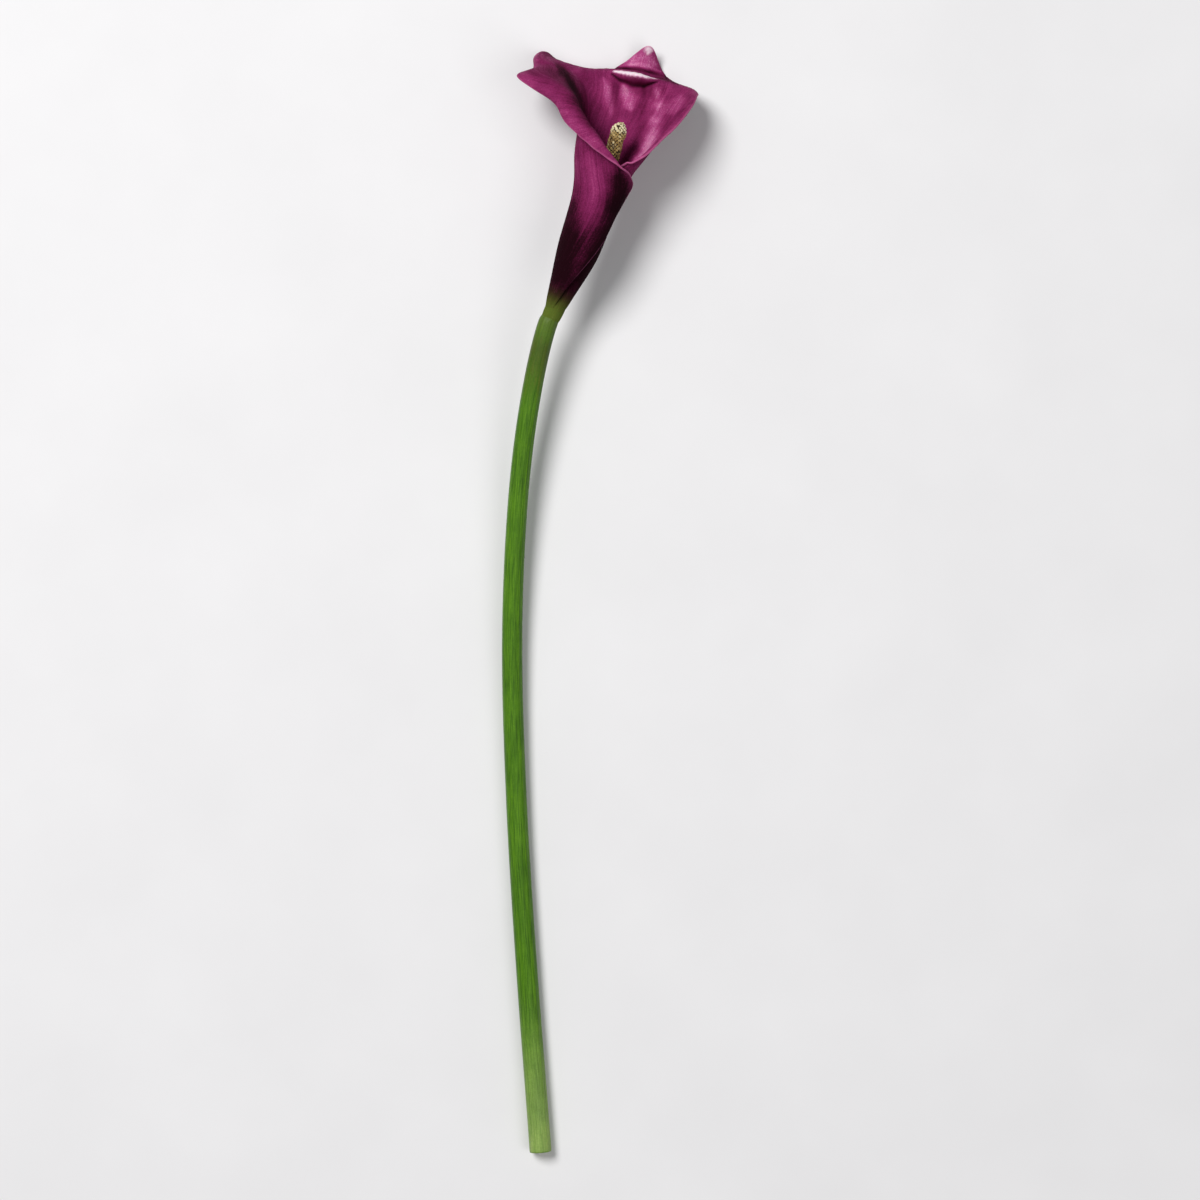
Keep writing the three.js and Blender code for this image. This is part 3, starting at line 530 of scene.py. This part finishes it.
def build_scape():
    sides = STALK_SIDES
    start = tube_frame(-np.array([1.3, 2.3, 4]))[0]
    line, run = through([*start, *SCAPE_PATH], 420)
    ahead = unit(np.gradient(line, axis=0))
    right = unit(np.cross(ahead, [0, 0, 1]))
    up = np.cross(right, ahead)
    # The end is cut square, with its skin drawn in a little, and the top runs into the spathe's foot.
    rings_before, rings_after = 2, len(CUT_INSET)
    lead = tube_frame(np.array([-0.2, -0.7]))[0]
    line = np.concatenate([lead, line, np.repeat(line[-1:], rings_after, 0)])
    right, up = (np.concatenate([np.repeat(way[:1], rings_before, 0), way, np.repeat(way[-1:], rings_after, 0)])
                 for way in (right, up))
    run = np.concatenate([[-1.1, -0.6], run, np.repeat(run[-1], rings_after)])
    radius = SCAPE_RADIUS["top"] + (SCAPE_RADIUS["end"] - SCAPE_RADIUS["top"]) * np.clip(run / run[-1], 0, 1)
    radius -= 0.35 * smoothstep(run, 2.4, 0)
    radius[-rings_after:] -= CUT_INSET
    angles = np.linspace(0, 2 * np.pi, sides, endpoint=False)
    ribs = 0.035 * np.cos(11 * angles + 0.4 * np.sin(run / 60)[:, None]) + 0.02 * np.cos(23 * angles + 1)
    swell = 0.05 * np.sin(run / 17)[:, None] * np.cos(angles + run[:, None] / 90)
    radii = row(radius) - 0.04 + ribs + swell
    points = bar((line, right, None, up), radii, angles)
    # The cut face is a shallow dish of rings inside the rim.
    rim = points[-1]
    centre = line[-1]
    dish = [centre + (rim - centre) * share - ahead[-1] * depth for share, depth in CUT_DISH]
    points = np.concatenate([points, dish])
    rings = len(points)
    flat = np.concatenate([points.reshape(-1, 3), [line[0], centre - ahead[-1] * CUT_DISH[-1][1]]])
    flat[:, 2] = np.maximum(flat[:, 2], 0)
    faces = [group[:, ::-1] for group in tube_faces(rings, sides)]
    whole = np.concatenate([run, np.repeat(run[-1], len(CUT_DISH))])
    in_cut = np.arange(rings) >= rings - 1 - len(CUT_DISH)
    marks = {
        "run": np.concatenate([np.repeat(whole, sides), [run[0], run[-1]]]),
        "angle": np.concatenate([np.tile(angles, rings), [0, 0]]),
        "cut": np.concatenate([np.repeat(in_cut, sides), [0, 1]]).astype(float),
    }
    return flat, faces, marks


# ---- the spadix ----


def spadix_frame(distance):
    origin, right, ahead, up = tube_frame(distance)
    droop = np.maximum(0, (distance - SPADIX_BEND["from"]) / (SPADIX["tip"] - SPADIX_BEND["from"])) ** 2
    origin = origin + right * row(droop * SPADIX_BEND["right"]) + up * row(droop * SPADIX_BEND["up"])
    return origin, right, ahead, up


def core_radius(distance):
    foot = smoothstep(distance, SPADIX["foot"] - 4, SPADIX["foot"] + 4)
    tip = np.sqrt(np.maximum(0, 1 - np.maximum(0, (distance - SPADIX_END + 2.8) / 2.8) ** 2))
    return SPADIX["radius"] * (0.55 + 0.45 * foot) * tip


def core(low, high, shrink):
    """The spadix's own body between two distances, a little inside the solids' one."""
    sides = SPADIX_SIDES
    distance = np.linspace(low, high, int((high - low) * 3))
    radius = np.maximum(core_radius(distance) - shrink, 0.15)
    angles = np.linspace(0, 2 * np.pi, sides, endpoint=False)
    points = bar(spadix_frame(distance), np.repeat(radius[:, None], sides, 1), angles).reshape(-1, 3)
    ends = spadix_frame(distance[[0, -1]])[0]
    return np.concatenate([points, ends]), tube_faces(len(distance), sides)


def ball(cuts):
    """Points and faces of a unit sphere made of even triangles."""
    golden = (1 + math.sqrt(5)) / 2
    points = [[-1, golden, 0], [1, golden, 0], [-1, -golden, 0], [1, -golden, 0],
              [0, -1, golden], [0, 1, golden], [0, -1, -golden], [0, 1, -golden],
              [golden, 0, -1], [golden, 0, 1], [-golden, 0, -1], [-golden, 0, 1]]
    faces = [[0, 11, 5], [0, 5, 1], [0, 1, 7], [0, 7, 10], [0, 10, 11],
             [1, 5, 9], [5, 11, 4], [11, 10, 2], [10, 7, 6], [7, 1, 8],
             [3, 9, 4], [3, 4, 2], [3, 2, 6], [3, 6, 8], [3, 8, 9],
             [4, 9, 5], [2, 4, 11], [6, 2, 10], [8, 6, 7], [9, 8, 1]]
    for _ in range(cuts):
        middle = {}
        finer = []
        for a, b, c in faces:
            corners = []
            for pair in ((a, b), (b, c), (c, a)):
                key = tuple(sorted(pair))
                if key not in middle:
                    middle[key] = len(points)
                    points.append([(points[key[0]][k] + points[key[1]][k]) / 2 for k in range(3)])
                corners.append(middle[key])
            ab, bc, ca = corners
            finer += [[a, ab, ca], [b, bc, ab], [c, ca, bc], [ab, bc, ca]]
        faces = finer
        points = list(map(list, unit(np.array(points))))
    return unit(np.array(points)), np.array(faces)


def seats(low, high, pitch):
    """Places of florets on the spadix, spaced evenly on a spiral: distances and angles."""
    golden_turn = math.pi * (3 - math.sqrt(5))
    distance = [low]
    while distance[-1] < high:
        here, after = core_radius(np.array([distance[-1], distance[-1] + 0.01]))
        girth = 2 * math.pi * max(here, 0.25) * math.hypot(1, (after - here) / 0.01)
        distance.append(distance[-1] + pitch * pitch * 0.9 / girth)
    distance = np.array(distance[:-1])
    return distance, np.arange(len(distance)) * golden_turn


def crowd(low, high, pitch, shape, shrink, cuts, seed, missing=0.0):
    """A length of spadix with its florets: every one is a small closed body sunk in the core."""
    draw = np.random.default_rng(seed)
    points, faces = core(low, high, shrink)
    pieces = [points]
    tones = [np.full(len(points), -1.0)]
    heights = [np.zeros(len(points))]
    pollens = [np.zeros(len(points))]
    count = len(points)
    balls = {"hidden": ball(cuts - 1), "shown": ball(cuts)}
    distance, angle = seats(low + 0.5 * pitch, high - 0.12 * pitch, pitch)
    origin, right, ahead, up = spadix_frame(distance)
    slopes = np.arctan(-np.gradient(core_radius(distance), distance))
    for i, slope in enumerate(slopes):
        tone = draw.random()
        size = draw.normal(1, 0.12)
        spin = draw.random() * 6.3
        lean = draw.normal(0, 0.16, 2)
        if draw.random() < missing:
            continue
        out = right[i] * math.cos(angle[i]) + up[i] * math.sin(angle[i])
        sphere, triangles = balls["shown" if distance[i] > MOUTH_FROM else "hidden"]
        outward = unit(out * math.cos(slope) + ahead[i] * math.sin(slope) + ahead[i] * lean[0])
        across = unit(np.cross(ahead[i], outward) + outward * lean[1])
        forward = np.cross(outward, across)
        lump = 0.5 + 0.3 * math.sin(0.9 * distance[i] + 2 * angle[i])
        lump += 0.2 * math.sin(1.7 * distance[i] - angle[i])
        local = shape(sphere, float(np.clip(size, 0.72, 1.3)), spin, lump)
        seat = origin[i] + out * max(float(core_radius(distance[i])) - shrink, 0.1)
        placed = seat + local[:, :1] * across + local[:, 1:2] * forward + local[:, 2:3] * outward
        pieces.append(placed)
        faces.append(triangles + count)
        tones.append(np.full(len(placed), tone))
        heights.append(np.clip(local[:, 2] / max(local[:, 2].max(), 1e-6), 0, 1))
        count += len(placed)
        pollen = smoothstep(distance[i], high - 3.2, high - 1.4)
        pollen = pollen - 0.7 * smoothstep(distance[i], high - 0.5, high - 0.1)
        pollens.append(np.full(len(placed), pollen))
    marks = {"tone": tones, "height": heights, "pollen": pollens}
    marks = {name: np.concatenate(values) for name, values in marks.items()}
    return np.concatenate(pieces), faces, marks


def anther(sphere, size, spin, lump):
    """A blunt, uneven stamen: two pollen sacs side by side, with a groove between them over the top."""
    x, y, z = sphere.T
    angle = np.arctan2(y, x)
    wide = np.sqrt(x * x + y * y)
    edge = 1 + wide * (0.14 * np.cos(2 * (angle - spin)) + 0.07 * np.cos(3 * angle + 2.7 * spin))
    box = 1 / np.maximum((wide**3 + np.abs(z) ** 3) ** (1 / 3), 0.2)
    off = x * math.cos(spin) + y * math.sin(spin)
    groove = 0.34 * np.exp(-((off / 0.24) ** 2)) * smoothstep(z, 0.1, 0.8)
    width = 0.47 * size * box * edge
    tall = 0.56 * (0.62 + 0.75 * lump * size)
    return np.stack([x * width, y * width, (z * box - groove) * tall + 0.2], -1)


def ovary(sphere, size, spin, lump):
    """A round ovary with a short neck and a flat stigma."""
    x, y, z = sphere.T
    wide = np.sqrt(x * x + y * y)
    neck = smoothstep(z, 0.74, 0.93)
    shrunk = 1 - 0.35 * neck - 0.15 * smoothstep(z, 0.3, 0.9)
    bulge = 1 + 0.05 * np.cos(3 * np.arctan2(y, x) + spin) * wide
    width = 0.78 * size * shrunk * bulge
    return np.stack([x * width, y * width, 0.55 * size * z + 0.21 * neck + 0.1], -1)


# ---- materials ----


class Look:
    """A material's node tree, written a node at a time."""

    def __init__(self, name, **settings):
        self.material = bpy.data.materials.new(name)
        self.material.use_nodes = True
        self.tree = self.material.node_tree
        self.shader = next(n for n in self.tree.nodes if n.type == "BSDF_PRINCIPLED")
        for key, value in settings.items():
            self.feed(self.shader.inputs[key.replace("_", " ")], value)

    def feed(self, socket, value):
        if isinstance(value, bpy.types.NodeSocket):
            self.tree.links.new(value, socket)
        else:
            socket.default_value = value

    def node(self, kind, inputs, output=0, **settings):
        made = self.tree.nodes.new(kind)
        for key, value in settings.items():
            setattr(made, key, value)
        for key, value in inputs.items():
            self.feed(made.inputs[key], value)
        return made.outputs[output]

    def mark(self, name):
        return self.node("ShaderNodeAttribute", {}, "Fac", attribute_name=name)

    def place(self):
        """The point itself, in millimetres."""
        point = self.node("ShaderNodeTexCoord", {}, "Object")
        return self.node("ShaderNodeVectorMath", {0: point, "Scale": 1000.0}, operation="SCALE")

    def math(self, operation, a, b=0.0):
        return self.node("ShaderNodeMath", {0: a, 1: b}, operation=operation)

    def times(self, a, b):
        return self.math("MULTIPLY", a, b)

    def wander(self, pattern, amount):
        """A change that follows a pattern, from half the amount down to half of it up."""
        return self.times(self.math("SUBTRACT", pattern, 0.5), amount)

    def join(self, x, y, z=0.0):
        return self.node("ShaderNodeCombineXYZ", {0: x, 1: y, 2: z})

    def noise(self, vector, scale, detail=3.0, roughness=0.55):
        inputs = {"Vector": vector, "Scale": scale, "Detail": detail, "Roughness": roughness}
        return self.node("ShaderNodeTexNoise", inputs)

    def fade(self, value, low, high):
        """0 at low and 1 at high, smooth between them."""
        inputs = {"Value": value, "From Min": low, "From Max": high}
        return self.node("ShaderNodeMapRange", inputs, interpolation_type="SMOOTHSTEP")

    def ramp(self, value, stops):
        made = self.tree.nodes.new("ShaderNodeValToRGB")
        self.feed(made.inputs[0], value)
        ends = made.color_ramp.elements
        for i, (at, colour) in enumerate(stops):
            stop = ends[i] if i < 2 else ends.new(at)
            stop.position = at
            stop.color = (*colour, 1)
        return made.outputs[0]

    def mix(self, share, a, b, blend="MIX"):
        a, b = (v if isinstance(v, bpy.types.NodeSocket) else (*v, 1) for v in (a, b))
        inputs = {0: share, 6: a, 7: b}
        return self.node("ShaderNodeMix", inputs, 2, data_type="RGBA", blend_type=blend)

    def bump(self, height, depth, normal=None):
        """Relief of a height from 0 to 1, so many mm deep."""
        inputs = {"Height": height, "Distance": depth * MM}
        if normal is not None:
            inputs["Normal"] = normal
        return self.node("ShaderNodeBump", inputs)


# The skin's colours by tone, from near-black purple in the throat and under painted shade to pale pink under
# painted highlights.
SKIN_TONES = [
    (0.0, (0.012, 0.0022, 0.0042)), (0.15, (0.034, 0.0036, 0.0125)), (0.35, (0.13, 0.0105, 0.052)),
    (0.5, (0.2, 0.0175, 0.087)), (0.65, (0.283, 0.03, 0.127)), (0.8, (0.39, 0.056, 0.195)),
    (0.9, (0.47, 0.088, 0.255)), (1.0, (0.62, 0.2, 0.385)),
]


def spathe_look():
    look = Look("spathe_skin", Subsurface_Weight=0.1, Subsurface_Scale=0.0009, Specular_IOR_Level=0.05,
                Specular_Tint=(1, 0.4, 0.7, 1))
    look.shader.inputs["Subsurface Radius"].default_value = (1.0, 0.25, 0.45)
    lane, run, rim, inner = (look.mark(name) for name in ("lane", "run", "rim", "inner"))
    place = look.place()
    lane = look.math("ADD", lane, look.times(look.noise(place, 0.16, 2), 3.0))
    long_lane = look.join(look.times(lane, 0.16), look.times(run, 0.035), inner)
    fine_lane = look.join(look.times(lane, 0.75), look.times(run, 0.06), inner)
    fine = look.noise(fine_lane, 1.0, 4, 0.65)
    grain = look.noise(place, 2.6, 4, 0.7)
    # The tone laid out over the mesh, painted light and shade included, broken by streaks along the veins, fine
    # lines, speckle and clouds.
    tone = look.mark("tone")
    lively = look.math("SUBTRACT", 1.0, look.times(look.mark("calm"), 0.75))
    streaks = look.noise(long_lane, 1.0, 3)
    clouds = look.noise(place, 0.14, 3)
    for pattern, strength in ((streaks, 0.4), (fine, 0.4), (grain, 0.6), (clouds, 0.4)):
        tone = look.math("ADD", tone, look.times(look.wander(pattern, strength), lively))
    colour = look.ramp(tone, SKIN_TONES)
    # The outer face turns olive along the back and towards the foot, and green at the joint.
    outer = look.math("SUBTRACT", 1.0, inner)
    back = look.fade(look.math("ABSOLUTE", lane), 16, 2)
    olive = look.times(look.times(back, look.fade(run, 62, 24)), 0.7)
    olive = look.math("MAXIMUM", olive, look.times(look.fade(run, 9, 0), 0.75))
    olive_skin = look.ramp(fine, [(0.3, (0.03, 0.03, 0.006)), (0.7, (0.1, 0.085, 0.018))])
    colour = look.mix(look.times(olive, outer), colour, olive_skin)
    green = look.ramp(fine, [(0.32, (0.06, 0.098, 0.012)), (0.7, (0.15, 0.2, 0.03))])
    colour = look.mix(look.times(look.fade(run, 6, -1.5), outer), colour, green)
    # Veins are fine darker lines along the lanes.
    vein = look.math("ABSOLUTE", look.math("SINE", look.times(lane, 0.62)))
    vein_line = look.times(look.fade(vein, 0.22, 0.0), lively)
    colour = look.mix(look.times(vein_line, 0.16), colour, (0.06, 0.004, 0.02))
    # A painted highlight on the fold's ridge, pale skin at the tip, and painted glints, pale spots where the
    # skin is lightest.
    pale = look.math("ADD", look.mark("pale"), look.wander(look.noise(place, 1.1, 4, 0.7), 0.8))
    colour = look.mix(look.fade(pale, 0.1, 0.7), colour, (0.6, 0.27, 0.42))
    colour = look.mix(look.fade(pale, 0.35, 0.95), colour, (0.9, 0.76, 0.82))
    painted_glints = look.fade(look.noise(place, 2.1, 3, 0.8), 0.54, 0.66)
    painted_glints = look.times(painted_glints, look.fade(tone, 0.58, 0.92))
    colour = look.mix(look.times(painted_glints, 0.45), colour, (0.7, 0.38, 0.52))
    # A painted highlight along the margin: a thin light line where its rolled edge catches the light.
    edge = look.times(look.fade(rim, 0.7, 0.1), look.fade(run, 9, 26))
    colour = look.mix(look.times(edge, 0.65), colour, (0.5, 0.12, 0.27))
    look.feed(look.shader.inputs["Base Color"], colour)
    dull = [(at, (value,) * 3) for at, value in ((0.1, 0.96), (0.9, 0.42), (0.4, 0.78), (0.6, 0.54))]
    look.feed(look.shader.inputs["Roughness"], look.ramp(tone, dull))
    lines = look.bump(look.math("SUBTRACT", 1.0, vein_line), 0.03)
    cells = look.bump(look.noise(place, 4.5, 3, 0.6), 0.035, lines)
    look.feed(look.shader.inputs["Normal"], look.bump(fine, 0.04, cells))
    return look.material


def scape_look():
    look = Look("scape_skin", Subsurface_Weight=0.1, Subsurface_Scale=0.0012, Specular_IOR_Level=0.16)
    look.shader.inputs["Subsurface Radius"].default_value = (0.5, 1.0, 0.2)
    run, angle, cut = (look.mark(name) for name in ("run", "angle", "cut"))
    place = look.place()
    lane = look.join(look.math("SINE", angle), look.math("COSINE", angle), look.times(run, 0.012))
    fibre = look.noise(lane, 9.0, 4, 0.65)
    blotch = look.noise(place, 0.09, 3)
    fleck = look.noise(place, 2.2, 3, 0.6)
    green = look.ramp(fibre, [(0.32, (0.035, 0.105, 0.004)), (0.7, (0.12, 0.275, 0.012)),
                              (0.5, (0.068, 0.185, 0.006))])
    pale = look.ramp(fibre, [(0.3, (0.16, 0.28, 0.055)), (0.7, (0.33, 0.46, 0.13))])
    colour = look.mix(look.fade(run, 205, 262), green, pale)
    # The top is the green of the spathe's foot, with a brown tinge in streaks below it.
    colour = look.mix(look.times(look.fade(run, 16, 0), 0.8), colour, (0.085, 0.125, 0.018))
    tinge = look.times(look.fade(run, 46, 12), look.fade(run, 0, 12))
    tinge = look.math("ADD", tinge, look.wander(fibre, 2.2))
    colour = look.mix(look.times(look.fade(tinge, 0.45, 1.3), 0.6), colour, (0.075, 0.04, 0.014))
    blotches = look.ramp(blotch, [(0.3, (0.7, 0.74, 0.7)), (0.7, (1.25, 1.2, 1.1))])
    colour = look.mix(0.6, colour, blotches, "MULTIPLY")
    flecks = look.ramp(fleck, [(0.3, (0.75,) * 3), (0.7, (1.25,) * 3)])
    colour = look.mix(0.5, colour, flecks, "MULTIPLY")
    dots = look.node("ShaderNodeTexVoronoi", {"Vector": place, "Scale": 1.9}, "Distance")
    pith = look.ramp(dots, [(0.12, (0.2, 0.27, 0.06)), (0.3, (0.62, 0.66, 0.38))])
    colour = look.mix(cut, colour, pith)
    look.feed(look.shader.inputs["Base Color"], colour)
    look.feed(look.shader.inputs["Roughness"], look.ramp(fleck, [(0.3, (0.32,) * 3), (0.7, (0.48,) * 3)]))
    look.feed(look.shader.inputs["Normal"], look.bump(fleck, 0.03, look.bump(fibre, 0.12)))
    return look.material


def stamen_look():
    look = Look("anthers", Subsurface_Weight=0.12, Subsurface_Scale=0.0006)
    look.shader.inputs["Subsurface Radius"].default_value = (1.0, 0.7, 0.35)
    tone, height, place = look.mark("tone"), look.mark("height"), look.place()
    dust = look.noise(place, 5.0, 4, 0.7)
    shade = look.math("ADD", look.times(tone, 0.6), look.times(dust, 0.4))
    colour = look.ramp(shade, [(0.15, (0.11, 0.06, 0.016)), (0.92, (0.62, 0.53, 0.31)),
                               (0.45, (0.27, 0.165, 0.045)), (0.7, (0.42, 0.29, 0.1))])
    # Each stamen darkens towards its foot: painted shade in the gaps between them.
    colour = look.mix(look.fade(height, 0.8, 0.25), colour, (0.05, 0.022, 0.008))
    # Pollen lies thickest in a ring below the tip, and in patches elsewhere.
    powder = look.math("ADD", look.mark("pollen"), look.wander(dust, 1.5))
    powder = look.times(look.fade(powder, 0.15, 0.75), look.fade(height, 0.3, 0.8))
    colour = look.mix(look.times(powder, 0.8), colour, (0.88, 0.8, 0.52))
    dusted = look.times(look.fade(look.noise(place, 0.75, 2), 0.56, 0.68), look.fade(height, 0.4, 0.9))
    colour = look.mix(look.times(dusted, 0.55), colour, (0.74, 0.68, 0.47))
    look.feed(look.shader.inputs["Base Color"], colour)
    look.feed(look.shader.inputs["Roughness"], look.ramp(dust, [(0.3, (0.6,) * 3), (0.7, (0.9,) * 3)]))
    look.feed(look.shader.inputs["Normal"], look.bump(dust, 0.09))
    return look.material


def pistil_look():
    look = Look("ovaries", Subsurface_Weight=0.15, Subsurface_Scale=0.0006)
    tone, height, place = look.mark("tone"), look.mark("height"), look.place()
    speck = look.noise(place, 4.0, 3, 0.6)
    shade = look.math("ADD", look.times(tone, 0.6), look.times(speck, 0.4))
    colour = look.ramp(shade, [(0.15, (0.17, 0.25, 0.05)), (0.85, (0.42, 0.5, 0.17))])
    # Each ovary darkens towards its foot, painted shade in the gaps between them, and the stigma on top is
    # pale.
    colour = look.mix(look.fade(height, 0.5, 0.1), colour, (0.1, 0.1, 0.03))
    colour = look.mix(look.fade(height, 0.86, 0.95), colour, (0.68, 0.62, 0.36))
    look.feed(look.shader.inputs["Base Color"], colour)
    look.feed(look.shader.inputs["Roughness"], look.ramp(speck, [(0.3, (0.4,) * 3), (0.7, (0.6,) * 3)]))
    look.feed(look.shader.inputs["Normal"], look.bump(speck, 0.05))
    return look.material


def floor_look():
    look = Look("studio_paper", Specular_IOR_Level=0.2)
    mottle = look.noise(look.place(), 0.02, 3)
    paper = look.ramp(mottle, [(0.3, (0.81, 0.8, 0.805)), (0.7, (0.84, 0.83, 0.835))])
    look.feed(look.shader.inputs["Base Color"], paper)
    look.feed(look.shader.inputs["Roughness"], look.ramp(mottle, [(0.3, (0.75,) * 3), (0.7, (0.85,) * 3)]))
    return look.material


# ---- pieces ----


def add_piece(name, points, faces, marks, material, node, slot):
    made = make_mesh(name, points, [face for group in faces for face in group], marks)
    made.data.materials.append(material)
    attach(made, "root")
    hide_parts(node)


def joined(parts):
    """Several closed bodies as one list of points and faces; a mark that a body lacks is 0 on it."""
    points, faces, marks, count = [], [], {}, 0
    names = sorted({name for _, _, own in parts for name in own})
    for own_points, own_faces, own in parts:
        points.append(own_points)
        faces.extend([np.asarray(f) + count for f in own_faces])
        for name in names:
            marks.setdefault(name, []).append(own.get(name, np.zeros(len(own_points))))
        count += len(own_points)
    return np.concatenate(points), faces, {name: np.concatenate(v) for name, v in marks.items()}


add_piece("spathe_leaf", *joined([build_spathe(), build_collar()]), spathe_look(), "spathe", "spathe_purple")
add_piece("scape_stalk", *build_scape(), scape_look(), "scape", "stalk_green")
add_piece("spadix_anthers", *crowd(SPADIX["split"], SPADIX_END + 0.1, 0.88, anther, 0.35, 2, 11, 0.04),
          stamen_look(), "stamens", "stamen_tan")
add_piece("spadix_ovaries", *crowd(SPADIX["foot"], SPADIX["split"] - 0.3, 1.45, ovary, 0.3, 2, 12),
          pistil_look(), "pistils", "pistil_green")

# ---- studio ----


def add_floor():
    reach, cuts = 1.6, 40
    steps = np.linspace(-reach, reach, cuts + 1)
    x, y = np.meshgrid(steps, steps, indexing="ij")
    mesh = bpy.data.meshes.new("studio_floor")
    index = np.arange((cuts + 1) ** 2).reshape(cuts + 1, cuts + 1)
    quads = np.stack([index[:-1, :-1], index[1:, :-1], index[1:, 1:], index[:-1, 1:]], -1).reshape(-1, 4)
    points = np.stack([x, y, np.full_like(x, -0.00005)], -1).reshape(-1, 3)
    mesh.from_pydata(points.tolist(), [], quads.tolist())
    mesh.materials.append(floor_look())
    made = bpy.data.objects.new("studio_floor", mesh)
    bpy.context.scene.collection.objects.link(made)


# The lights' places and sizes in metres, and their power in watts.
LIGHTS = {"key": ((-0.63, 0.61, 1.43), 0.75, 24), "fill": ((0.75, -0.47, 1.43), 1.2, 6.7)}
LIT_POINT = (0, 0.05, 0)


def add_light(name, place, size, power):
    data = bpy.data.lights.new(name, "AREA")
    data.shape = "DISK"
    data.size = size
    data.energy = power
    lamp = bpy.data.objects.new(name, data)
    lamp.location = place
    direction = np.array(LIT_POINT) - np.array(place)
    lamp.rotation_euler = Vector(direction.tolist()).to_track_quat("-Z", "Y").to_euler()
    bpy.context.scene.collection.objects.link(lamp)


def add_camera():
    """Straight above the flower, with the bloom at the top of the picture."""
    data = bpy.data.cameras.new("camera")
    data.lens = 100
    data.sensor_width = 36
    made = bpy.data.objects.new("camera", data)
    low, high = cad_box
    seen = 1.09 * (high.y - low.y)
    made.location = ((low.x + high.x) / 2, (low.y + high.y) / 2, seen * data.lens / data.sensor_width)
    data.clip_start, data.clip_end = 0.05, 20
    bpy.context.scene.collection.objects.link(made)
    bpy.context.scene.camera = made


def set_world():
    world = bpy.data.worlds.new("studio_air")
    world.use_nodes = True
    sky = next(n for n in world.node_tree.nodes if n.type == "BACKGROUND")
    sky.inputs["Color"].default_value = (0.95, 0.97, 1, 1)
    sky.inputs["Strength"].default_value = 0.16
    bpy.context.scene.world = world


add_floor()
for light_name, (light_place, light_size, light_power) in LIGHTS.items():
    add_light(light_name, light_place, light_size, light_power)
set_world()
add_camera()
bpy.context.scene.view_settings.view_transform = "Standard"
